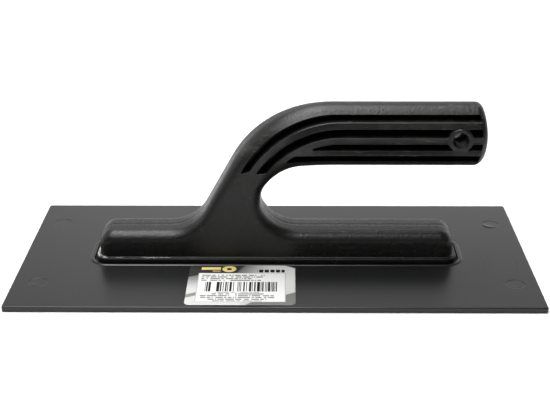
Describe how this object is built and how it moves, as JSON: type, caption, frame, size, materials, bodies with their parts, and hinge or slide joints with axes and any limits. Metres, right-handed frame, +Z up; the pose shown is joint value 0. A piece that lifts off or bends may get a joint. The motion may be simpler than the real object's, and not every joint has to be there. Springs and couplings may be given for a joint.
{
  "type": "plastering float",
  "caption": "Plastic plastering float: a flat rectangular blade with a glued-on bar handle whose oval grip has long side slots and a hanging hole.",
  "frame": {"origin": "middle of the blade's underside, the face that works the plaster", "axes": "+X along the blade towards the free end of the grip, +Y across the blade, away from the side with the label, +Z up from the blade to the grip"},
  "size_m": [0.27, 0.13, 0.0879],
  "materials": {
    "blade_plastic": "satin",
    "handle_plastic": "satin",
    "adhesive": "gloss",
    "label_paper": "satin"
  },
  "bodies": {
    "root": {"float_plate": "blade_plastic", "handle": "handle_plastic", "adhesive_bead": "adhesive", "label": "label_paper"}
  },
  "joints": []
}
